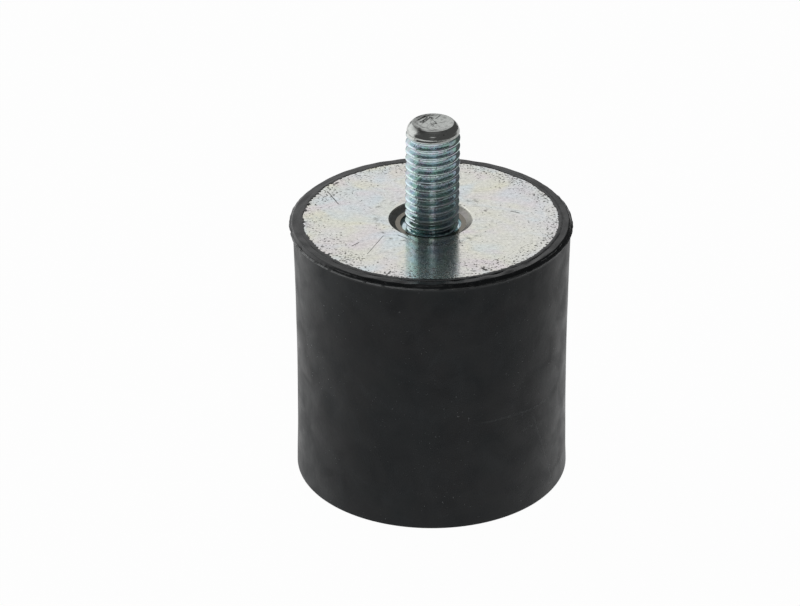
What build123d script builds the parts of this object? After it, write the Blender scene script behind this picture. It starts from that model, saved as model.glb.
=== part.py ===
from build123d import *
import os
from math import radians, tan

# Bobbin vibration mount, male and female: a rubber cylinder moulded round two steel end plates.
# The upper plate carries a threaded stud that stands up out of a shallow countersink,
# and the lower plate carries a blind tapped bush, so that the mount bolts to a machine on
# one side and to a frame on the other, and only rubber joins the two.
# Every piece is turned about Z. z = 0 is the lower end face and +Z points along the stud.
# All lengths are millimetres.

# Whole mount
HEIGHT = 40.0                # from end face to end face, without the stud
STUD_LENGTH = 15.3           # from the upper plate's face to the stud's tip

# Rubber body
RIM_R = 19.85                # radius at the lower end
RIM_ROUND = 0.35             # rounding of the lower edge
WAIST_R = 19.57              # smallest radius, from shrinkage between the plates
WAIST_Z = 17.0
SHOULDER_R = 19.84           # radius just under the lip
LIP_R = 20.43                # moulded lip round the upper end
LIP_HEIGHT = 1.3             # from the lip's underside to the upper end face
LIP_UNDER_ROUND = 0.3
LIP_TOP_ROUND = 0.45

# End plates, punched from strip
PLATE_R = 18.5
PLATE_T = 2.0
COUNTERSINK_R = 6.0          # at the upper plate's face

# Threaded stud, M8 with a pitch of 1.25
THREAD_R = 3.92              # crest radius of the rolled thread
THREAD_ROOT_R = 3.5          # where the thread runs out at its foot
STUD_END_R = 3.0             # flat on the tip
STUD_END_LENGTH = 1.9        # length of the rounded lead
STUD_END_BULGE_R = 3.62      # radius part of the way along the rounded lead
STUD_END_BULGE_DROP = 0.68   # how far below the tip that radius lies
HEAD_R = 8.0                 # round head, buried in the rubber under the plate
HEAD_T = 2.5
HEAD_ROUND = 0.5
NECK_R = 5.1                 # pressed into the plate's hole
LEDGE_DROP = 0.7             # how far the neck's face lies below the plate's face
FOOT_GROOVE_R = 4.4          # relief round the thread's foot
FOOT_GROOVE_FLOOR_R = 4.1
FOOT_GROOVE_DEPTH = 0.6
RUN_OUT = 0.8                # height of the run-out cone above the groove's floor

# Tapped bush, M8
TAP_DRILL_R = 3.4
TAP_DEPTH = 8.0              # full bore, from the end face to the drill point's shoulder
DRILL_POINT_HALF_ANGLE = 59.0
MOUTH_R = 4.3                # 90 degree countersink at the mouth
SPIGOT_R = 6.0               # pressed into the lower plate's hole
BARREL_R = 7.0
BARREL_TOP = 11.5            # closed end, from the end face
BARREL_CHAMFER = 0.8

# Levels worked out from the sizes above
UPPER_PLATE_Z = HEIGHT - PLATE_T
LEDGE_Z = HEIGHT - LEDGE_DROP
GROOVE_Z = LEDGE_Z - FOOT_GROOVE_DEPTH
TIP_Z = HEIGHT + STUD_LENGTH
LIP_Z = HEIGHT - LIP_HEIGHT


def disc(radius, low, high):
    """A plain round disc between two levels."""
    return Pos(0, 0, low) * Cylinder(radius, high - low, align=(Align.CENTER, Align.CENTER, Align.MIN))


def stud_head():
    """The stud's round head, with a rounded lower edge, against the upper plate's underside."""
    head = disc(HEAD_R, UPPER_PLATE_Z - HEAD_T, UPPER_PLATE_Z)
    lower_edge = head.edges().filter_by(GeomType.CIRCLE).sort_by(Axis.Z)[0]
    return fillet(lower_edge, HEAD_ROUND)


def bush_barrel():
    """The tapped bush's barrel above the lower plate, with its closed end chamfered."""
    barrel = disc(BARREL_R, PLATE_T, BARREL_TOP)
    closed_end = barrel.edges().filter_by(GeomType.CIRCLE).sort_by(Axis.Z)[-1]
    return chamfer(closed_end, BARREL_CHAMFER)


def rubber_body():
    """The moulded rubber: a waisted column with a lip round its upper end, and the cavities
    that the plates, the stud's head and the bush's barrel fill."""
    with BuildPart() as column:
        with BuildSketch(Plane.XZ):
            with BuildLine():
                Line((0, 0), (RIM_R - RIM_ROUND, 0))
                TangentArc((RIM_R - RIM_ROUND, 0), (RIM_R, RIM_ROUND), tangent=(1, 0))
                ThreePointArc((RIM_R, RIM_ROUND), (WAIST_R, WAIST_Z), (SHOULDER_R, LIP_Z))
                Line((SHOULDER_R, LIP_Z), (LIP_R - LIP_UNDER_ROUND, LIP_Z))
                TangentArc(
                    (LIP_R - LIP_UNDER_ROUND, LIP_Z), (LIP_R, LIP_Z + LIP_UNDER_ROUND), tangent=(1, 0)
                )
                Line((LIP_R, LIP_Z + LIP_UNDER_ROUND), (LIP_R, HEIGHT - LIP_TOP_ROUND))
                TangentArc((LIP_R, HEIGHT - LIP_TOP_ROUND), (LIP_R - LIP_TOP_ROUND, HEIGHT), tangent=(0, 1))
                Line((LIP_R - LIP_TOP_ROUND, HEIGHT), (0, HEIGHT))
                Line((0, HEIGHT), (0, 0))
            make_face()
        revolve(axis=Axis.Z)
    upper_cavity = disc(PLATE_R, UPPER_PLATE_Z, HEIGHT) + stud_head()
    lower_cavity = disc(PLATE_R, 0, PLATE_T) + bush_barrel()
    return column.part - upper_cavity - lower_cavity


def top_plate():
    """The upper end plate: a disc with a hole for the stud's neck, countersunk to a ledge."""
    plate = disc(PLATE_R, UPPER_PLATE_Z, HEIGHT) - disc(NECK_R, UPPER_PLATE_Z, HEIGHT)
    countersink = Pos(0, 0, LEDGE_Z) * Cone(
        NECK_R, COUNTERSINK_R, LEDGE_DROP, align=(Align.CENTER, Align.CENTER, Align.MIN)
    )
    return plate - countersink


def threaded_stud():
    """The stud: head, neck with a relief groove round the thread's foot, and the shank.

    The shank is plain at the crest radius, because the thread is too fine for the solid."""
    with BuildPart() as shank:
        with BuildSketch(Plane.XZ):
            with BuildLine():
                Line((0, UPPER_PLATE_Z), (NECK_R, UPPER_PLATE_Z))
                Line((NECK_R, UPPER_PLATE_Z), (NECK_R, LEDGE_Z))
                Line((NECK_R, LEDGE_Z), (FOOT_GROOVE_R, LEDGE_Z))
                Line((FOOT_GROOVE_R, LEDGE_Z), (FOOT_GROOVE_FLOOR_R, GROOVE_Z))
                Line((FOOT_GROOVE_FLOOR_R, GROOVE_Z), (THREAD_ROOT_R, GROOVE_Z))
                Line((THREAD_ROOT_R, GROOVE_Z), (THREAD_R, GROOVE_Z + RUN_OUT))
                Line((THREAD_R, GROOVE_Z + RUN_OUT), (THREAD_R, TIP_Z - STUD_END_LENGTH))
                ThreePointArc(
                    (THREAD_R, TIP_Z - STUD_END_LENGTH),
                    (STUD_END_BULGE_R, TIP_Z - STUD_END_BULGE_DROP),
                    (STUD_END_R, TIP_Z),
                )
                Line((STUD_END_R, TIP_Z), (0, TIP_Z))
                Line((0, TIP_Z), (0, UPPER_PLATE_Z))
            make_face()
        revolve(axis=Axis.Z)
    return shank.part + stud_head()


def bottom_plate():
    """The lower end plate: a disc with a hole for the bush's spigot."""
    return disc(PLATE_R, 0, PLATE_T) - disc(SPIGOT_R, 0, PLATE_T)


def tapped_insert():
    """The blind tapped bush: spigot and barrel, bored to the tapping size with a drill point,
    and a countersunk mouth in the lower end face."""
    blank = disc(SPIGOT_R, 0, PLATE_T) + bush_barrel()
    bore = disc(TAP_DRILL_R, 0, TAP_DEPTH)
    point_height = TAP_DRILL_R / tan(radians(DRILL_POINT_HALF_ANGLE))
    drill_point = Pos(0, 0, TAP_DEPTH) * Cone(
        TAP_DRILL_R, 0, point_height, align=(Align.CENTER, Align.CENTER, Align.MIN)
    )
    mouth = Cone(MOUTH_R, TAP_DRILL_R, MOUTH_R - TAP_DRILL_R, align=(Align.CENTER, Align.CENTER, Align.MIN))
    return blank - (bore + drill_point) - mouth


pieces = {
    "rubber_body": rubber_body(),
    "top_plate": top_plate(),
    "threaded_stud": threaded_stud(),
    "bottom_plate": bottom_plate(),
    "tapped_insert": tapped_insert(),
}

os.makedirs("parts", exist_ok=True)
for name, piece in pieces.items():
    export_step(piece, f"parts/{name}.step")
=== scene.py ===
"""Bobbin vibration mount: the visible surfaces and finishes, made round the solid model.

A rubber cylinder is moulded round two zinc-plated steel end plates. A threaded stud stands in
the upper plate, and a blind tapped bush is set in the lower one. Every piece is a surface of
revolution about Z whose radius and level may also vary round the axis. Lengths are millimetres
until a mesh is made.
"""
from math import cos, pi, radians, sin, tan

import bpy
import numpy as np
from mathutils import Matrix, Vector


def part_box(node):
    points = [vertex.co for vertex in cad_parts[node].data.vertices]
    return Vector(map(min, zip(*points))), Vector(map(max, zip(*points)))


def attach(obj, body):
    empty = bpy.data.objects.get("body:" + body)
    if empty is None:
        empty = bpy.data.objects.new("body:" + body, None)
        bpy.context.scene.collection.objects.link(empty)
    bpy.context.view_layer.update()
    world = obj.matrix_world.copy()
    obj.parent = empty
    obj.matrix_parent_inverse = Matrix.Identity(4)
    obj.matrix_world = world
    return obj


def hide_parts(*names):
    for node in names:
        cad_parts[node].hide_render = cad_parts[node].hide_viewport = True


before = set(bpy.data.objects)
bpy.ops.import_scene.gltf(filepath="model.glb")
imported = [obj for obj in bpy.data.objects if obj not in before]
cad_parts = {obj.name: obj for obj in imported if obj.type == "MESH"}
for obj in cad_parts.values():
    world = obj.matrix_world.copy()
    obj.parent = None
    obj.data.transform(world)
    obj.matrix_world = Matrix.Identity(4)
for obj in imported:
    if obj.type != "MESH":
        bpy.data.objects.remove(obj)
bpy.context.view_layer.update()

MM = 0.001  # metres in a millimetre


# ---------------------------------------------------------------- sizes from the solid model

def reach(node):
    """Outer radius, lowest level and highest level of a solid, in millimetres."""
    low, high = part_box(node)
    return high.x / MM, low.z / MM, high.z / MM


LIP_R, _, HEIGHT = reach("rubber_body")
PLATE_R, UPPER_PLATE_Z, _ = reach("top_plate")
HEAD_R, HEAD_Z, TIP_Z = reach("threaded_stud")
_, _, PLATE_T = reach("bottom_plate")
BARREL_R, _, BARREL_TOP = reach("tapped_insert")

# Rubber body
RIM_R = 19.85                # radius of the wall at its lower edge
RIM_ROUND = 0.35
WAIST_R = 19.57
WAIST_Z = 17.0
SHOULDER_R = 19.84
LIP_Z = HEIGHT - 1.3
WALL_SHIFT = 0.15            # the wall was moulded this much off the plates' centre, towards +X
FILM_R = 18.95               # outer edge of the film of rubber on the plate
FOOT_ROUND = 0.14            # the wall's lower edge, sharper than the solid's
RING_R = 19.75               # where the ring's flat top starts to fall away to the lip
LIP_EDGE_Z = HEIGHT - 0.62   # level of the lip's thin outer edge

# Plates
COUNTERSINK_R = 6.0
NECK_R = 5.1
EDGE_ROUND = 0.12            # roll-over left by the punch
SPIGOT_R = 6.0

# Stud
PITCH = 1.25
THREAD_R = 3.92
THREAD_DEPTH = 0.6134 * PITCH
THREAD_ROOT_R = 3.5          # foot of the run-out cone
CREST_LEVEL = HEIGHT + 0.37  # a crest's level on the +X side
STUD_OFFSET = 0.18           # the stud stands a little towards +X of the plate's centre
STUD_LEAN = 0.010            # and leans that way, in millimetres per millimetre
STUD_END_R = 3.0
STUD_END_LENGTH = 1.9        # the end and its lead, down to the first full turn
LEAD_DROP = [0.05, 0.3, 0.65, 1.1, 1.6, 2.1, 20]                  # levels below the tip
LEAD_R = [STUD_END_R, 3.3, 3.57, 3.74, 3.84, 3.9, THREAD_R]       # and the lead's radius there
HEAD_ROUND = 0.5
LEDGE_Z = HEIGHT - 0.7
GROOVE_Z = LEDGE_Z - 0.6
FOOT_GROOVE_R = 4.4
FOOT_GROOVE_FLOOR_R = 4.1
RUN_OUT = 0.8

# Bush
BORE_R = 3.4
TAP_MAJOR_R = 4.05
TAP_END_Z = 7.0              # last full turn of the internal thread
BORE_END_Z = 8.0
DRILL_POINT_HALF_ANGLE = 59.0
MOUTH_R = 4.3
BARREL_CHAMFER = 0.8


# ---------------------------------------------------------------- profiles and surfaces

def straight(start, end, count):
    """Points of a straight run of the half profile, (radius, level), without its last point."""
    t = np.linspace(0, 1, count, endpoint=False)[:, None]
    return (1 - t) * np.array(start, float) + t * np.array(end, float)


def rounded(centre, radius, first_deg, last_deg, count):
    """Points of an arc of the half profile, with both its end points."""
    angle = np.radians(np.linspace(first_deg, last_deg, count))
    return np.array(centre) + radius * np.stack([np.cos(angle), np.sin(angle)], -1)


def angles(columns):
    """The angle round the axis of each column of a surface."""
    return np.arange(columns) * 2 * pi / columns


def waves(seed, angle, level, count, turns, wavelength):
    """Smooth noise of about unit size that closes on itself round the axis.

    It is a sum of cosines. Each has a whole number of waves round the axis, up to turns, and a
    wavelength along the axis of at least the one given, with a random phase."""
    rng = np.random.default_rng(seed)
    total = 0
    for _ in range(count):
        around = rng.integers(-turns, turns + 1)
        along = rng.uniform(-1, 1) * 2 * pi / wavelength
        total = total + np.cos(around * angle + along * level + rng.uniform(0, 2 * pi))
    return total * (2 / count) ** 0.5


def hump(angle, place_deg, width_deg):
    """A smooth hump round the axis: 1 at its place, falling as exp(-x^2) with x in widths."""
    return np.exp(-((angle - radians(place_deg)) / radians(width_deg)) ** 2)


def revolved(name, radius, level, ring=False, shift_x=0.0):
    """Mesh of a closed surface of revolution.

    radius and level hold rows by columns in millimetres. Column c lies at the angle
    2*pi*c/columns, so a point is (radius cos + shift_x, radius sin, level). Rows follow the half
    profile with the material on their right. A ring joins its last row to its first. Otherwise
    a point at the middle of each end row closes it."""
    rows, columns = radius.shape
    angle = angles(columns)
    points = np.stack([radius * np.cos(angle) + shift_x, radius * np.sin(angle), level], -1)
    poles = points[[0, -1]].mean(1)
    points = points.reshape(-1, 3)
    column = np.arange(columns)
    after = np.roll(column, -1)
    row = np.arange(rows if ring else rows - 1)[:, None] * columns
    below = (row + columns) % (rows * columns)
    quads = np.stack([row + column, below + column, below + after, row + after], -1).reshape(-1, 4)
    faces = quads.tolist()
    if not ring:
        first, last = rows * columns, rows * columns + 1
        end = (rows - 1) * columns
        points = np.concatenate([points, poles])
        faces += np.stack([np.full(columns, first), column, after], -1).tolist()
        faces += np.stack([end + column, np.full(columns, last), end + after], -1).tolist()
    mesh = bpy.data.meshes.new(name)
    mesh.from_pydata((points * MM).tolist(), [], faces)
    mesh.shade_smooth()
    mesh.set_sharp_from_angle(angle=radians(40))
    piece = bpy.data.objects.new(name, mesh)
    bpy.context.scene.collection.objects.link(piece)
    return piece


def spread(profile, columns):
    """A half profile repeated round the axis: its radius and level as rows by columns."""
    return (np.repeat(profile[:, :1], columns, 1), np.repeat(profile[:, 1:], columns, 1))


def mark(piece, name, values):
    """Stores one number per vertex for the materials. The two poles take their end row's mean."""
    flat = np.concatenate([values.ravel(), [values[0].mean(), values[-1].mean()]])
    attribute = piece.data.attributes.new(name, "FLOAT", "POINT")
    attribute.data.foreach_set("value", flat.astype(np.float32))


# ---------------------------------------------------------------- rubber body

def bumps(seed, angle, count, widths_deg, heights):
    """Pointed bumps at random places round the axis, as one height for each angle.

    A bump falls from its height to nothing over its own width, along a straight line."""
    rng = np.random.default_rng(seed)
    total = 0 * angle
    for _ in range(count):
        place = rng.uniform(0, 2 * pi)
        width = radians(rng.uniform(*widths_deg))
        away = np.abs((angle - place + pi) % (2 * pi) - pi)
        bump = rng.uniform(*heights) * np.clip(1 - away / width, 0, 1)
        total = np.maximum(total, bump)
    return total


def make_flash_film():
    """The thin film of rubber that the mould let creep over the plate's edge.

    A flat closed ring, whose section is a thin lens. Its inner edge moves in and out with fine
    and coarse waves, and pointed tongues stand out of it, longest on the -X side."""
    columns = 1500
    angle = angles(columns)
    reach_in = 0.05 * waves(5, angle, 0, 14, 30, 1) + 0.04 * waves(6, angle, 0, 30, 260, 1)
    reach_in += bumps(7, angle, 150, (0.3, 0.9), (0.05, 0.2)) * (1 - 0.3 * np.cos(angle))
    reach_in += bumps(8, angle, 22, (0.5, 1.2), (0.2, 0.5)) * np.clip(-np.cos(angle), 0, 1)
    share = np.array([0, 1, 1, 1, 0.9, 0.5, 0, 0])[:, None]
    base_r = FILM_R - np.array([0, 0.45, 0.49, 0.48, 0.43, 0.35, 0.2, 0])[:, None]
    rise = np.array([-0.03, 0.002, 0.015, 0.04, 0.055, 0.06, 0.045, 0.005])[:, None]
    radius = base_r - share * (reach_in + 0.06)
    level = HEIGHT + rise * (1 + 0.12 * waves(14, angle, 0, 20, 80, 1))
    return revolved("rubber_flash_film", radius[::-1], level[::-1], ring=True)


def wall_radius(level):
    """Radius of the rubber wall: two parabolas that meet at the waist."""
    above = np.clip((level - WAIST_Z) / (LIP_Z - WAIST_Z), 0, 1)
    under = np.clip((WAIST_Z - level) / (WAIST_Z - RIM_ROUND), 0, 1)
    return WAIST_R + (SHOULDER_R - WAIST_R) * above ** 2 + (RIM_R - WAIST_R) * under ** 2


def wall_growth(angle):
    """How far the wall stands outside that radius: nothing at -X and twice the shift at +X."""
    return WALL_SHIFT * (1 + np.cos(angle))


def make_rubber_body():
    """The moulded rubber. At the top of its wall a flat ring falls away to a thin, worn lip, with
    a crease before it. Inside are the cavities that the metal fills."""
    columns = 720
    angle = angles(columns)
    cavity = np.concatenate([
        straight((0.6, HEAD_Z), (HEAD_R - HEAD_ROUND, HEAD_Z), 2),
        rounded((HEAD_R - HEAD_ROUND, HEAD_Z + HEAD_ROUND), HEAD_ROUND, -90, 0, 4),
        straight((HEAD_R, UPPER_PLATE_Z), (PLATE_R, UPPER_PLATE_Z), 3),
        straight((PLATE_R, UPPER_PLATE_Z), (PLATE_R, HEIGHT), 2),
    ])
    # Ring, shoulder, crease and lip, from the plate outwards and then down.
    fall = np.linspace(0, 1, 12, endpoint=False)
    top = np.concatenate([
        straight((PLATE_R, HEIGHT), (RING_R, HEIGHT - 0.07), 9),
        np.stack([RING_R + 0.5 * fall, HEIGHT - 0.07 - 0.42 * fall ** 2], -1),
    ])
    lip = np.array([
        (LIP_R - 0.16, LIP_EDGE_Z + 0.11),
        (LIP_R - 0.09, LIP_EDGE_Z + 0.09),
        (LIP_R - 0.03, LIP_EDGE_Z + 0.06),
        (LIP_R, LIP_EDGE_Z),
        (LIP_R - 0.02, LIP_EDGE_Z - 0.07),
        (LIP_R - 0.12, LIP_EDGE_Z - 0.13),
        (LIP_R - 0.3, LIP_EDGE_Z - 0.2),
        (SHOULDER_R + 0.08, LIP_EDGE_Z - 0.32),
    ])
    wall_z = np.concatenate([
        LIP_Z - np.array([-0.15, 0.05, 0.25]),
        np.linspace(LIP_Z - 0.6, FOOT_ROUND + 0.06, 52),
    ])
    wall = np.stack([wall_radius(wall_z), wall_z], -1)
    foot_points = 6
    foot = np.concatenate([
        rounded((RIM_R - FOOT_ROUND, FOOT_ROUND), FOOT_ROUND, -12, -90, foot_points),
        straight((RIM_R - RIM_ROUND - 0.05, 0), (PLATE_R, 0), 3),
        straight((PLATE_R, 0), (PLATE_R, PLATE_T), 2),
        straight((PLATE_R, PLATE_T), (BARREL_R, PLATE_T), 3),
        straight((BARREL_R, PLATE_T), (BARREL_R, BARREL_TOP - BARREL_CHAMFER), 3),
        straight((BARREL_R, BARREL_TOP - BARREL_CHAMFER), (BARREL_R - BARREL_CHAMFER, BARREL_TOP), 2),
        straight((BARREL_R - BARREL_CHAMFER, BARREL_TOP), (0.3, BARREL_TOP), 2),
    ])
    parts = [cavity, top, lip, wall, foot]
    radius, level = spread(np.concatenate(parts), columns)
    ends = np.cumsum([len(part) for part in parts])
    top_rows = np.arange(ends[0], ends[1])
    edge_rows = np.arange(ends[1] - 5, ends[2] - 1)
    wall_rows = np.arange(ends[2], ends[3])
    # The crease is deep on the front left and comes and goes elsewhere.
    strength = 0.25 + 0.75 * hump(angle, 222, 30)
    strength = strength + 0.35 * np.clip(waves(10, angle, 0, 12, 16, 1), 0, 1)
    crease = np.exp(-((radius[top_rows] - LIP_R + 0.33) / 0.09) ** 2)
    level[top_rows] -= 0.22 * strength * crease
    ripple = 0.02 * waves(12, angle, radius[top_rows], 24, 40, 1.2)
    level[top_rows] += ripple * np.clip((radius[top_rows] - PLATE_R) / 0.4, 0, 1)
    wear = 0.035 * waves(15, angle, 0, 10, 9, 1) + 0.02 * waves(9, angle, 0, 20, 90, 1)
    wear -= bumps(16, angle, 18, (0.5, 2.0), (0.03, 0.12)) * (1 - 0.4 * np.cos(angle))
    radius[edge_rows] += np.clip(wear, -0.3, 0.06)
    fade = np.clip((LIP_Z - wall_z) / 2, 0, 1)[:, None] * np.clip(wall_z / 2, 0, 1)[:, None]
    radius[wall_rows] += 0.014 * fade * waves(3, angle, level[wall_rows], 30, 18, 7)
    # The wall and its foot grow outwards whole, and the lip's underside by half where they meet.
    share = np.zeros(len(radius))
    share[ends[2] - 2] = 0.5
    share[ends[2] - 1:ends[3] + foot_points] = 1
    radius += share[:, None] * wall_growth(angle)
    piece = revolved("rubber_body_moulding", radius, level)
    # The ring's top takes the second finish.
    finish = np.zeros(len(piece.data.polygons), np.int32)
    finish[(ends[0] - 1) * columns:(ends[1] + 1) * columns] = 1
    piece.data.polygons.foreach_set("material_index", finish)
    return piece


# ---------------------------------------------------------------- plates

def make_plate(name, low, high, hole_low_r, hole_high_r, countersink_depth):
    """A punched round plate with softened edges. The hole is straight and then, over the
    countersink's depth below the upper face, opens out as a cone."""
    bend = high - countersink_depth
    face_points = 30
    profile = np.concatenate([
        straight((hole_high_r + EDGE_ROUND, high), (PLATE_R - EDGE_ROUND, high), face_points),
        rounded((PLATE_R - EDGE_ROUND, high - EDGE_ROUND), EDGE_ROUND, 90, 0, 5),
        straight((PLATE_R, low + 0.4), (PLATE_R, low + EDGE_ROUND), 2),
        rounded((PLATE_R - EDGE_ROUND, low + EDGE_ROUND), EDGE_ROUND, 0, -90, 5),
        straight((PLATE_R - 1, low), (hole_low_r + EDGE_ROUND, low), 10),
        rounded((hole_low_r + EDGE_ROUND, low + EDGE_ROUND), EDGE_ROUND, 270, 180, 5),
        straight((hole_low_r, low + 0.3), (hole_low_r, bend), 3),
        straight((hole_low_r, bend), (hole_high_r, high - EDGE_ROUND), 8),
        rounded((hole_high_r + EDGE_ROUND, high - EDGE_ROUND), EDGE_ROUND, 180, 90, 6)[:-1],
    ])
    columns = 384
    radius, level = spread(profile, columns)
    # The upper face isn't quite flat.
    face = np.arange(face_points)
    edge_fade = np.sin(pi * np.linspace(0, 1, face_points))[:, None]
    level[face] += 0.006 * edge_fade * waves(31, angles(columns), radius[face], 20, 6, 9)
    return revolved(name, radius, level, ring=True)


# ---------------------------------------------------------------- threads

def thread_share(angle, level, crest_level):
    """How deep in a right-hand thread a point lies: 0 on the crest and 1 in the root.

    The turn count is level/pitch less angle/360, so a crest climbs as the angle grows. The
    flanks run straight between a crest flat of an eighth of the pitch and a root flat of a
    quarter, and a sine eases both corners."""
    turn = ((level - crest_level) / PITCH - angle / (2 * pi)) % 1
    away = 1 - np.abs(2 * turn - 1)
    share = np.clip((away - 0.125) / (1 - 0.125 - 0.25), 0, 1)
    return share - 0.55 * np.sin(2 * pi * share) / (2 * pi)


def soft_least(a, b, sharpness=22):
    """The smaller of two radii, with the change from one to the other rounded over: minus the
    logarithm of the sum of their exponentials, taken about the thread's radius."""
    both = np.exp(-sharpness * (a - THREAD_R)) + np.exp(-sharpness * (b - THREAD_R))
    return -np.log(both) / sharpness + THREAD_R


MARK_HALF_WIDTH = 0.09
HATCH_PITCH = 0.42

# Drag marks on the stud's sheared end: start, end and height, in millimetres.
DRAG_MARKS = [
    ((-0.50, 1.90), (-1.60, 0.10), 0.07),
    ((-0.50, 1.90), (0.35, 0.10), 0.07),
    ((-0.75, 1.70), (-1.75, 0.25), -0.07),
    ((-0.15, 1.75), (0.65, 0.25), -0.07),
    ((0.90, 2.30), (0.30, 1.60), 0.05),
    ((-2.60, 0.50), (-1.20, 2.10), 0.05),
]


def make_stud():
    """The stud: dished end, rounded lead, rolled thread, run-out, neck and buried head."""
    columns = 216
    angle = angles(columns)
    end_r = np.linspace(0.12, STUD_END_R - 0.06, 26)
    thread_z = np.linspace(TIP_Z - 0.05, GROOVE_Z + 0.02, 352)
    drop = TIP_Z - thread_z
    lead_r = np.interp(drop, LEAD_DROP, LEAD_R)
    climb = np.clip((thread_z - GROOVE_Z) / RUN_OUT, 0, 1)
    foot_r = THREAD_ROOT_R + (THREAD_R - THREAD_ROOT_R) * climb
    plain = np.concatenate([
        straight((THREAD_ROOT_R, GROOVE_Z), (FOOT_GROOVE_FLOOR_R, GROOVE_Z), 3),
        straight((FOOT_GROOVE_FLOOR_R, GROOVE_Z), (FOOT_GROOVE_R - 0.03, LEDGE_Z - 0.05), 4),
        rounded((FOOT_GROOVE_R + 0.03, LEDGE_Z - 0.05), 0.05, 150, 90, 4),
        straight((FOOT_GROOVE_R + 0.1, LEDGE_Z), (NECK_R, LEDGE_Z), 5),
        straight((NECK_R, LEDGE_Z), (NECK_R, UPPER_PLATE_Z), 3),
        straight((NECK_R, UPPER_PLATE_Z), (HEAD_R, UPPER_PLATE_Z), 4),
        straight((HEAD_R, UPPER_PLATE_Z), (HEAD_R, HEAD_Z + HEAD_ROUND), 3),
        rounded((HEAD_R - HEAD_ROUND, HEAD_Z + HEAD_ROUND), HEAD_ROUND, 0, -90, 5),
        straight((HEAD_R - HEAD_ROUND - 0.3, HEAD_Z), (0.5, HEAD_Z), 4),
    ])
    # Sheared end: a shallow dish with a raised back edge, drag marks that meet in a blunt arrow
    # behind its middle, and a torn step along the front of its -X side.
    end_radius = np.repeat(end_r[:, None], columns, 1)
    x, y = end_radius * np.cos(angle), end_radius * np.sin(angle)
    dish = np.clip(1 - ((x - 0.25) ** 2 + (y + 0.1) ** 2) / 2.6 ** 2, 0, 1)
    end_level = TIP_Z - 0.02 - 0.22 * dish ** 0.8 + 0.012 * waves(41, angle, end_radius, 30, 14, 0.7) * dish
    for start, end, height in DRAG_MARKS:
        run = np.subtract(end, start)
        share = np.clip(((x - start[0]) * run[0] + (y - start[1]) * run[1]) / (run @ run), 0, 1)
        gap = np.hypot(x - start[0] - share * run[0], y - start[1] - share * run[1])
        end_level += height * np.exp(-(gap / MARK_HALF_WIDTH) ** 2)
    torn = np.clip((end_radius - 2.3) / 0.5, 0, 1) * hump(angle, 225, 26)
    end_level -= 0.12 * torn
    # Soil and painted shade: painted shade, dark on the torn step and, hatched, along the back edge, and
    # soil, thin in the dish.
    back = np.clip((end_radius - 1.9) / 0.6, 0, 1) * hump(angle, 128, 55)
    hatch = 0.5 + 0.5 * np.sin(2 * pi * (0.8 * x - 0.6 * y) / HATCH_PITCH + 1.2 * np.sin(2.1 * y))
    soil_and_shade = back * (0.55 + 0.4 * hatch) + 0.9 * torn
    soil_and_shade += 0.22 * np.clip(waves(46, angle, end_radius, 40, 16, 0.6), 0, 1.5)
    # Thread: cut down to the rounded lead and the run-out cone. It dies out on the lead.
    level = np.repeat(thread_z[:, None], columns, 1)
    depth = thread_share(angle, level, CREST_LEVEL)
    fade = np.clip((TIP_Z - 1.0 - level) / 0.9, 0, 1)
    cut = THREAD_R - THREAD_DEPTH * depth * fade
    cut += 0.008 * waves(44, angle, level, 30, 60, 0.6)
    limit = np.minimum(lead_r, foot_r)[:, None]
    radius = soft_least(cut, limit + 0.03)
    plain_radius, plain_level = spread(plain, columns)
    upper_level = np.concatenate([end_level, level])
    off_centre = STUD_OFFSET + STUD_LEAN * (upper_level - HEIGHT)
    off_centre = off_centre * np.clip((upper_level - GROOVE_Z) / 0.1, 0, 1)
    piece = revolved(
        "threaded_stud_rolled",
        np.concatenate([end_radius, radius, plain_radius]),
        np.concatenate([end_level, level, plain_level]),
        shift_x=np.concatenate([off_centre, 0 * plain_level]),
    )
    mark(piece, "thread_depth", np.concatenate([0 * end_radius, depth * fade, 0 * plain_radius]))
    # The torn step's painted shadow runs on over the top of the lead.
    step = hump(angle, 226, 24) * np.clip(1 - drop / 0.45, 0, 1)[:, None]
    mark(piece, "soil_and_shade", np.concatenate([soil_and_shade, step, 0 * plain_radius]))
    return piece


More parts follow.
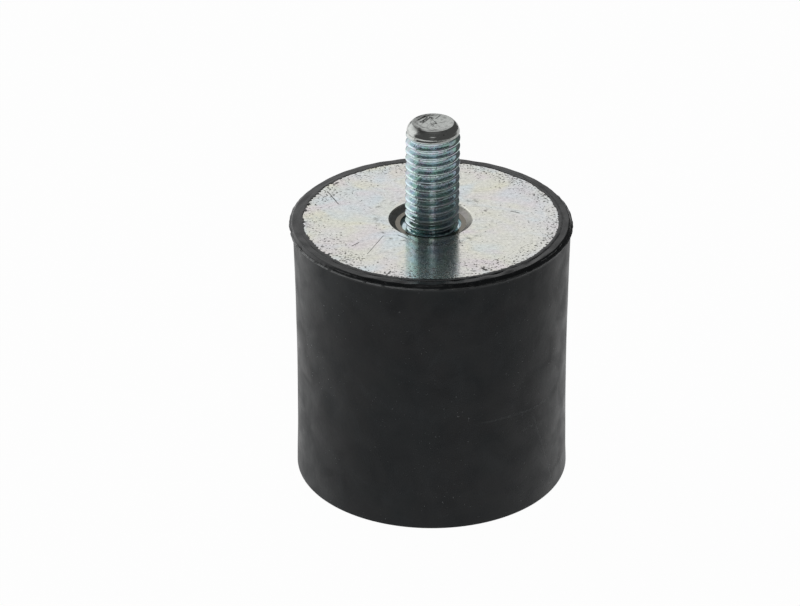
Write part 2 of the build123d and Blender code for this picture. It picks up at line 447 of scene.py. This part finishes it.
def make_bush():
    """The blind bush: closed barrel, spigot, countersunk mouth, tapped bore and drill point."""
    columns = 192
    angle = angles(columns)
    outside = np.concatenate([
        straight((0.5, BARREL_TOP), (BARREL_R - BARREL_CHAMFER, BARREL_TOP), 4),
        straight((BARREL_R - BARREL_CHAMFER, BARREL_TOP), (BARREL_R, BARREL_TOP - BARREL_CHAMFER), 2),
        straight((BARREL_R, BARREL_TOP - BARREL_CHAMFER), (BARREL_R, PLATE_T), 4),
        straight((BARREL_R, PLATE_T), (SPIGOT_R, PLATE_T), 2),
        straight((SPIGOT_R, PLATE_T), (SPIGOT_R, EDGE_ROUND), 3),
        rounded((SPIGOT_R - EDGE_ROUND, EDGE_ROUND), EDGE_ROUND, 0, -90, 5),
        straight((SPIGOT_R - EDGE_ROUND - 0.1, 0), (MOUTH_R + 0.08, 0), 5),
        straight((MOUTH_R, 0.04), (BORE_R + 0.06, MOUTH_R - BORE_R), 8),
    ])
    bore_z = np.linspace(MOUTH_R - BORE_R + 0.03, BORE_END_Z, 170)
    level = np.repeat(bore_z[:, None], columns, 1)
    groove = thread_share(angle, level, 0.0)
    start = np.clip((level - (MOUTH_R - BORE_R)) / 0.4, 0, 1)
    finish = np.clip((TAP_END_Z + 0.5 - level) / 0.6, 0, 1)
    radius = BORE_R + (TAP_MAJOR_R - BORE_R) * groove * start * finish
    point_height = BORE_R / tan(radians(DRILL_POINT_HALF_ANGLE))
    point = straight((BORE_R - 0.02, BORE_END_Z + 0.02), (0.1, BORE_END_Z + point_height - 0.06), 8)
    outside_radius, outside_level = spread(outside, columns)
    point_radius, point_level = spread(point, columns)
    piece = revolved(
        "tapped_bush",
        np.concatenate([outside_radius, radius, point_radius]),
        np.concatenate([outside_level, level, point_level]),
    )
    # Here the mark is painted shade that grows deeper into the blind bore; the material paints only the
    # drill point darker.
    bore_shade = [0 * outside_radius + 0.4, 0.5 * start, 0 * point_radius + 0.9]
    mark(piece, "thread_depth", np.concatenate(bore_shade))
    return piece


# ---------------------------------------------------------------- materials

def linear(hex_colour):
    """An sRGB hex colour as the linear numbers that shaders take, opaque."""
    parts = [int(hex_colour[i:i + 2], 16) / 255 for i in (1, 3, 5)]
    return (*[c / 12.92 if c <= 0.04045 else ((c + 0.055) / 1.055) ** 2.4 for c in parts], 1.0)


def add(tree, kind, inputs=(), out=0, **settings):
    """Adds a shader node and returns one of its outputs, by place or name.

    inputs holds plain values or other nodes' outputs, as a list in the order of the node's
    sockets or as a dict by name."""
    made = tree.nodes.new("ShaderNode" + kind)
    for name, value in settings.items():
        setattr(made, name, value)
    for key, value in inputs.items() if isinstance(inputs, dict) else enumerate(inputs):
        if isinstance(value, bpy.types.NodeSocket):
            tree.links.new(value, made.inputs[key])
        else:
            made.inputs[key].default_value = value
    return made.outputs[out] if made.outputs else None


def new_material(name):
    """An empty node material, with its tree and its object coordinates."""
    material = bpy.data.materials.new(name)
    material.use_nodes = True
    material.node_tree.nodes.clear()
    return material, material.node_tree, add(material.node_tree, "TexCoord", out="Object")


def per(size_mm):
    """The scale at which a noise's largest blobs are about size_mm across."""
    return 1 / (size_mm * MM)


def layered(tree, colour, layers):
    """A colour with others laid over it in turn, each given as a share from 0 to 1 and sRGB hex."""
    for share, tone in layers:
        inputs = {"Factor": share, "A": colour, "B": linear(tone)}
        colour = add(tree, "Mix", inputs, "Result", data_type="RGBA")
    return colour


def scratch(tree, place, start, end, half_width):
    """1 on a straight scratch and 0 beside it: the distance to the run from start to end, by its
    nearest point, against the half width."""
    run = (Vector(end) - Vector(start)) * MM
    away = add(tree, "VectorMath", [place, Vector(start) * MM], operation="SUBTRACT")
    share = add(tree, "VectorMath", [away, run / run.length_squared], "Value", operation="DOT_PRODUCT")
    held = add(tree, "MapRange", [share, 0.0, 1.0])
    nearest = add(tree, "VectorMath", {0: run, "Scale": held}, operation="SCALE")
    gap = add(tree, "VectorMath", [away, nearest], "Value", operation="DISTANCE")
    return add(tree, "MapRange", [gap, half_width * MM, half_width * 1.8 * MM, 1.0, 0.0])


def from_axis(tree, place):
    """Distance from the Z axis, in metres: the length of the point's X and Y."""
    flat = add(tree, "VectorMath", [place, (1, 1, 0)], operation="MULTIPLY")
    return add(tree, "VectorMath", [flat], "Value", operation="LENGTH")


# Pale scuffs low on the rubber wall, each as points (degrees from +X, level in millimetres).
SCUFFS = [
    [(-69.2, 16.75), (-57.7, 16.7), (-49.8, 16.5), (-43.4, 16.2), (-33.8, 16.25)],
    [(-41.9, 14.75), (-37.3, 10.7), (-32.1, 5.6), (-28.7, 2.4)],
    [(-47.9, 13.3), (-42.4, 13.45)],
]
SCUFF_HALF_WIDTH = 0.12


def on_wall(angle_deg, level):
    """A point of the rubber wall's surface, in millimetres."""
    angle = radians(angle_deg)
    radius = wall_radius(level) + wall_growth(angle)
    return radius * cos(angle), radius * sin(angle), level


def moulded_rubber(name, gloss, smoothest, roughest):
    """Natural rubber, compression moulded: near black and satin. The mould's skin gives a faint
    mottle, handling gives a pale haze, fine dust and a few scuffs, and the thin lip's edge
    carries a painted highlight in patches, strongest on the -X side. The ring's top was pressed
    against the lid of the mould, so it is glossier than the wall."""
    material, tree, place = new_material(name)
    bloom = add(tree, "TexNoise", {"Vector": place, "Scale": per(8.0), "Detail": 5.0, "Distortion": 0.8})
    mottle = add(tree, "MapRange", [bloom, 0.38, 0.62])
    # Haze, in uneven clouds of about 5 mm.
    taller = add(tree, "Mapping", {"Vector": place, "Scale": (1, 1, 0.7)})
    clouds = add(tree, "TexNoise", {"Vector": taller, "Scale": per(5.0), "Detail": 8.0, "Distortion": 1.5})
    haze = add(tree, "MapRange", [clouds, 0.50, 0.72, 0.0, 0.16])
    # Scuffs, broken up over about 1.4 mm.
    scuffs = 0.0
    for line in SCUFFS:
        for start, end in zip(line, line[1:]):
            scuff = scratch(tree, place, on_wall(*start), on_wall(*end), SCUFF_HALF_WIDTH)
            scuffs = add(tree, "Math", [scuff, scuffs], operation="MAXIMUM")
    breaks = add(tree, "TexNoise", {"Vector": place, "Scale": per(1.4), "Detail": 4.0})
    breaks = add(tree, "MapRange", [breaks, 0.35, 0.6, 0.15, 0.9])
    scuffs = add(tree, "Math", [scuffs, breaks], operation="MULTIPLY")
    # Pale dust, in specks of about 0.15 mm that are thick in some places and thin in others.
    grain = add(tree, "TexNoise", {"Vector": place, "Scale": per(0.35), "Detail": 2.0})
    patches = add(tree, "TexNoise", {"Vector": place, "Scale": per(6.0), "Detail": 3.0})
    dust = add(tree, "Math", [
        add(tree, "MapRange", [grain, 0.69, 0.75]), add(tree, "MapRange", [patches, 0.45, 0.7]),
    ], operation="MULTIPLY")
    # The lip's thin edge takes a painted highlight, paler in patches and strongest on the -X side, towards
    # the key.
    edge = add(tree, "MapRange", [from_axis(tree, place), 20.27 * MM, 20.36 * MM])
    across = add(tree, "SeparateXYZ", [place], "X")
    side = add(tree, "MapRange", [across, -6 * MM, 8 * MM, 1.0, 0.25])
    lip_highlight = add(tree, "Math", [edge, side], operation="MULTIPLY")
    patches = add(tree, "TexNoise", {"Vector": place, "Scale": per(1.2), "Detail": 3.0})
    lip_highlight = add(tree, "Math", [lip_highlight, add(tree, "MapRange", [patches, 0.32, 0.5])], operation="MULTIPLY")
    layers = [
        (mottle, "#14171a"), (haze, "#4a4f53"), (scuffs, "#4b4e50"), (dust, "#a8abae"), (lip_highlight, "#9a9c9d"),
    ]
    # The skin's own relief: fine grain and upright drag lines, a few hundredths of a millimetre high.
    grain = add(tree, "TexNoise", {"Vector": place, "Scale": per(0.6), "Detail": 5.0})
    upright = add(tree, "Mapping", {"Vector": place, "Scale": (1, 1, 0.25)})
    drag = add(tree, "TexNoise", {"Vector": upright, "Scale": per(1.6), "Detail": 6.0, "Distortion": 0.4})
    relief = add(tree, "Math", [grain, drag], operation="ADD")
    skin = add(tree, "TexNoise", {"Vector": place, "Scale": per(4.0), "Detail": 6.0, "Distortion": 0.5})
    surface = add(tree, "BsdfPrincipled", {
        "Base Color": layered(tree, linear("#0b1418"), layers),
        "Roughness": add(tree, "MapRange", [skin, 0.3, 0.7, smoothest, roughest]),
        "Metallic": 0.0,
        "IOR": 1.5,
        "Specular IOR Level": gloss,
        "Normal": add(tree, "Bump", {"Height": relief, "Strength": 0.35, "Distance": 0.04 * MM}),
    })
    add(tree, "OutputMaterial", [surface])
    return material


# Scratches on the upper plate: start, end and half width, in millimetres.
SCRATCHES = [
    ((-6.75, -5.37), (-8.91, -10.91), 0.035),
    ((-15.07, 8.54), (-13.38, 4.50), 0.05),
    ((-5.61, -16.03), (-6.30, -17.50), 0.06),
    ((7.17, -15.10), (7.70, -15.75), 0.13),
    ((-14.20, 10.80), (-13.60, 11.46), 0.10),
    ((11.60, 2.25), (12.75, 1.75), 0.06),
    ((-4.66, -5.16), (-2.90, -6.60), 0.05),
    ((-11.14, -8.52), (-10.20, -7.50), 0.06),
]

# Tints of the plate's passivation, each laid over the one before: colour, how the pattern is
# squeezed along X, Y and Z, blob size in millimetres, distortion, and the noise's range.
PLATE_TINTS = [
    ("#e4e3d2", (1, 1, 1), 12.0, 1.0, 0.38, 0.66),       # straw
    ("#d8e4ea", (1.1, 1.1, 3), 9.0, 1.2, 0.46, 0.72),    # blue
    ("#e2dbde", (0.9, 1.3, 5), 8.0, 0.8, 0.48, 0.74),    # rose
]


def zinc_plate():
    """Zinc plated steel strip: bright and nearly a mirror. Passivation gives it soft straw, blue
    and rose tints, the blank's rough skin shows as dark pits that crowd near the rim, rolling
    leaves fine streaks along X, and handling a few scratches."""
    material, tree, place = new_material("zinc_plated_strip")
    radius = from_axis(tree, place)
    films = []
    for tone, squeeze, size_mm, distortion, low, high in PLATE_TINTS:
        squeezed = add(tree, "Mapping", {"Vector": place, "Scale": squeeze})
        blobs = add(tree, "TexNoise", {
            "Vector": squeezed, "Scale": per(size_mm), "Detail": 2.0, "Distortion": distortion,
        })
        films.append((add(tree, "MapRange", [blobs, low, high]), tone))
    # Pits of about 0.15 mm, sparse in the middle and dense over the outer 3 mm.
    crowd = add(tree, "MapRange", [radius, 13.0 * MM, 18.4 * MM, 0.0, 0.12])
    patches = add(tree, "TexNoise", {"Vector": place, "Scale": per(3.5), "Detail": 3.0})
    patchy = add(tree, "MapRange", [patches, 0.35, 0.7, -0.03, 0.05])
    grain = add(tree, "TexNoise", {"Vector": place, "Scale": per(0.33), "Detail": 2.0})
    more = add(tree, "Math", [crowd, patchy], operation="ADD")
    pits = add(tree, "MapRange", [add(tree, "Math", [grain, more], operation="ADD"), 0.665, 0.75])
    rolled = add(tree, "Mapping", {"Vector": place, "Scale": (0.15, 1, 1)})
    streaks = add(tree, "TexNoise", {"Vector": rolled, "Scale": per(0.40), "Detail": 3.0})
    streaks = add(tree, "MapRange", [streaks, 0.60, 0.76, 0.0, 0.35])
    # A faint rub left by a washer, about 8 mm from the axis.
    rub = add(tree, "Math", [
        add(tree, "MapRange", [radius, 7.2 * MM, 8.0 * MM]),
        add(tree, "MapRange", [radius, 8.2 * MM, 9.2 * MM, 1, 0]),
    ], operation="MULTIPLY")
    breaks = add(tree, "TexNoise", {"Vector": place, "Scale": per(1.1), "Detail": 5.0})
    breaks = add(tree, "MapRange", [breaks, 0.52, 0.66, 0.0, 0.8])
    rub = add(tree, "Math", [rub, breaks], operation="MULTIPLY")
    # The countersink was left duller by the cutter.
    inside, outside = (COUNTERSINK_R - 0.08) * MM, (COUNTERSINK_R - 0.02) * MM
    cone = add(tree, "MapRange", [radius, inside, outside, 0.75, 0.0])
    marks = [
        scratch(tree, place, (*start, HEIGHT), (*end, HEIGHT), half_width)
        for start, end, half_width in SCRATCHES
    ]
    wear = pits
    for one in [streaks, rub, *marks, cone]:
        wear = add(tree, "Math", [wear, one], operation="MAXIMUM")
    # The steel's grain makes the zinc a little lighter and darker, and worn places are dark.
    grain = add(tree, "TexNoise", {"Vector": place, "Scale": per(0.45), "Detail": 3.0})
    light = add(tree, "MapRange", [grain, 0.3, 0.7, 0.84, 1.10])
    tinted = {"Factor": 1.0, "A": layered(tree, linear("#e3e4e4"), films), "B": light}
    colour = add(tree, "Mix", tinted, "Result", data_type="RGBA", blend_type="MULTIPLY")
    colour = layered(tree, colour, [(add(tree, "Math", [wear, 0.8], operation="MULTIPLY"), "#3c3a34")])
    skin = add(tree, "TexNoise", {"Vector": place, "Scale": per(0.7), "Detail": 5.0})
    relief = add(tree, "Math", [skin, wear], operation="SUBTRACT")
    surface = add(tree, "BsdfPrincipled", {
        "Base Color": colour,
        "Metallic": 1.0,
        "Roughness": add(tree, "MapRange", [wear, 0.0, 1.0, 0.13, 0.5]),
        "Normal": add(tree, "Bump", {"Height": relief, "Strength": 0.25, "Distance": 0.02 * MM}),
    })
    add(tree, "OutputMaterial", [surface])
    return material


def zinc_thread():
    """Zinc plated rolled thread, blue passivated: bright, with small patches of teal, sky blue and
    lilac, painted darker in the roots as painted shade, and dark specks where the plating is thin."""
    material, tree, place = new_material("zinc_plated_rolled_thread")
    teal = add(tree, "TexNoise", {"Vector": place, "Scale": per(1.6), "Detail": 2.0, "Distortion": 0.6})
    squeezed = add(tree, "Mapping", {"Vector": place, "Scale": (1.2, 1.2, 2)})
    lilac = add(tree, "TexNoise", {"Vector": squeezed, "Scale": per(1.3), "Detail": 2.0, "Distortion": 0.6})
    # The tints lie on sky blue. They are thinnest at the top of the stud, so the end is plain
    # grey. The collar round the stud's foot is rubbed to a dull straw grey. The roots, and the
    # bush's drill point, are painted darker as painted shade. The stud end's mix of soil and
    # painted shade is nearly black.
    height = add(tree, "SeparateXYZ", [place], "Z")
    end = TIP_Z - STUD_END_LENGTH
    specks = add(tree, "TexNoise", {"Vector": place, "Scale": per(0.3), "Detail": 2.0})
    depth = add(tree, "Attribute", out="Fac", attribute_name="thread_depth")
    layers = [
        (add(tree, "MapRange", [teal, 0.42, 0.6]), "#c7e0da"),
        (add(tree, "MapRange", [lilac, 0.52, 0.66]), "#cfcedb"),
        (add(tree, "MapRange", [height, end * MM, (end + 0.4) * MM]), "#bbbebb"),
        (add(tree, "MapRange", [from_axis(tree, place), 4.25 * MM, 4.4 * MM]), "#78746b"),
        # painted shade: the deepest parts of the thread's roots and the bush's drill point are painted
        # darker
        (add(tree, "MapRange", [depth, 0.7, 1.0, 0.0, 0.3]), "#7d8789"),
        # soil and painted shade: soil thin in the dish, painted shade on the torn step, over the lead's top
        # and along the end's back edge
        (add(tree, "Attribute", out="Fac", attribute_name="soil_and_shade"), "#3a3a38"),
        (add(tree, "MapRange", [specks, 0.66, 0.73, 0.0, 0.8]), "#34332f"),
    ]
    skin = add(tree, "TexNoise", {"Vector": place, "Scale": per(0.8), "Detail": 4.0})
    grain = add(tree, "TexNoise", {"Vector": place, "Scale": per(0.4), "Detail": 5.0})
    surface = add(tree, "BsdfPrincipled", {
        "Base Color": layered(tree, linear("#ccdde6"), layers),
        "Metallic": 1.0,
        "Roughness": add(tree, "MapRange", [skin, 0.3, 0.7, 0.10, 0.24]),
        "Normal": add(tree, "Bump", {"Height": grain, "Strength": 0.4, "Distance": 0.025 * MM}),
    })
    add(tree, "OutputMaterial", [surface])
    return material


# ---------------------------------------------------------------- the object

def dress(piece, material, slot, *nodes):
    """Gives a piece its finish, hides the solid's parts that it stands for, and fixes it to the mount. The
    slot is not used.
    """
    piece.data.materials.append(material)
    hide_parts(*nodes)
    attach(piece, "root")


plate_finish = zinc_plate()
thread_finish = zinc_thread()
wall_finish = moulded_rubber("moulded_rubber_wall", 0.27, 0.34, 0.52)
ring_finish = moulded_rubber("moulded_rubber_ring", 0.50, 0.20, 0.36)
body = make_rubber_body()
dress(body, wall_finish, "rubber", "rubber_body")
body.data.materials.append(ring_finish)
dress(make_flash_film(), ring_finish, "rubber", "rubber_body")
dress(
    make_plate("top_plate_punched", UPPER_PLATE_Z, HEIGHT, NECK_R, COUNTERSINK_R, HEIGHT - LEDGE_Z),
    plate_finish, "zinc_plated_plate", "top_plate",
)
dress(
    make_plate("bottom_plate_punched", 0, PLATE_T, SPIGOT_R, SPIGOT_R, 0.5),
    plate_finish, "zinc_plated_plate", "bottom_plate",
)
dress(make_stud(), thread_finish, "zinc_plated_stud", "threaded_stud")
dress(make_bush(), thread_finish, "zinc_plated_stud", "tapped_insert")


# ---------------------------------------------------------------- floor, light and camera

FLOOR_HALF = 450.0   # half the floor's side
FLOOR_GAP = 0.02     # the floor lies this far under the mount, so that the two faces don't flicker


def make_floor():
    """A wide white floor. To the camera and in reflections it is nearly the backdrop's own white,
    and it keeps a trace of the mount's shadow."""
    half = FLOOR_HALF * MM
    mesh = bpy.data.meshes.new("studio_floor")
    corners = [(-half, -half), (half, -half), (half, half), (-half, half)]
    mesh.from_pydata([(x, y, -FLOOR_GAP * MM) for x, y in corners], [], [(0, 1, 2, 3)])
    floor = bpy.data.objects.new("studio_floor", mesh)
    bpy.context.scene.collection.objects.link(floor)
    material, tree, place = new_material("studio_floor_white")
    white = add(tree, "BsdfDiffuse", {"Color": linear("#ededed")})
    glow = add(tree, "Emission", {"Color": (1, 1, 1, 1), "Strength": 1.0})
    # Reflections meet a dimmer floor on the +X side, away from the key.
    across = add(tree, "SeparateXYZ", [place], "X")
    dim = add(tree, "MapRange", [across, 20 * MM, 90 * MM, 1.0, 0.62])
    mirrored = add(tree, "Math", [add(tree, "LightPath", out="Is Glossy Ray"), dim], operation="MULTIPLY")
    seen = add(tree, "Math", [add(tree, "LightPath", out="Is Camera Ray"), mirrored], operation="MAXIMUM")
    through = add(tree, "LightPath", out="Is Transmission Ray")
    seen = add(tree, "Math", [seen, through], operation="MAXIMUM")
    share = add(tree, "Math", [seen, 0.98], operation="MULTIPLY")
    add(tree, "OutputMaterial", [add(tree, "MixShader", [share, white, glow])])
    mesh.materials.append(material)


# Soft boxes of the studio, as patches of sky: azimuth from +X towards +Y, elevation, the angle to
# full strength, the angle to nothing, and strength.
SOFT_BOXES = [
    (105, 31, 19, 32, 0.86),     # behind, seen in the upper plate
    (150, 14, 25, 42, 1.30),     # left and behind, the key
    (-90, 33, 7, 14, 0.90),      # a small one by the camera
    (0, 90, 10, 40, 0.16),       # a weak one overhead
]
STUDIO_DIM = 0.10                # what the studio's walls give where there is no box


def make_world():
    """A dim studio with soft boxes round it. A box's strength falls smoothly from its inner angle
    to its outer one, and where boxes overlap the stronger counts. The camera meets plain white."""
    world = bpy.data.worlds.new("studio")
    bpy.context.scene.world = world
    world.use_nodes = True
    tree = world.node_tree
    tree.nodes.clear()
    direction = add(tree, "TexCoord", out="Generated")
    level = STUDIO_DIM
    for azimuth, elevation, inner, outer, strength in SOFT_BOXES:
        a, e = radians(azimuth), radians(elevation)
        centre = (cos(a) * cos(e), sin(a) * cos(e), sin(e))
        facing = add(tree, "VectorMath", [direction, centre], "Value", operation="DOT_PRODUCT")
        box = add(tree, "MapRange", [
            facing, cos(radians(outer)), cos(radians(inner)), 0.0, strength,
        ], interpolation_type="SMOOTHSTEP")
        level = add(tree, "Math", [level, box], operation="MAXIMUM")
    fill = add(tree, "Background", {"Color": (1, 1, 1, 1), "Strength": level})
    white = add(tree, "Background", {"Color": (1, 1, 1, 1), "Strength": 1.0})
    both = add(tree, "MixShader", [add(tree, "LightPath", out="Is Camera Ray"), fill, white])
    add(tree, "OutputWorld", [both])


def make_camera():
    """A long lens that looks down at the mount, which stands a little right of the picture's
    centre."""
    data = bpy.data.cameras.new("camera")
    data.sensor_width = 36
    data.lens = 153.0
    camera = bpy.data.objects.new("camera", data)
    back, up = 434.15, 264.23
    yaw, pitch, roll = radians(-0.590), radians(28.740), radians(-0.254)
    camera.location = Vector((0, -back, up)) * MM
    turn = Matrix.Rotation(-yaw, 4, "Z") @ Matrix.Rotation(pi / 2 - pitch, 4, "X")
    camera.rotation_euler = (turn @ Matrix.Rotation(roll, 4, "Z")).to_euler()
    bpy.context.scene.collection.objects.link(camera)
    bpy.context.scene.camera = camera


make_floor()
make_world()
make_camera()
bpy.context.scene.view_settings.view_transform = "Standard"
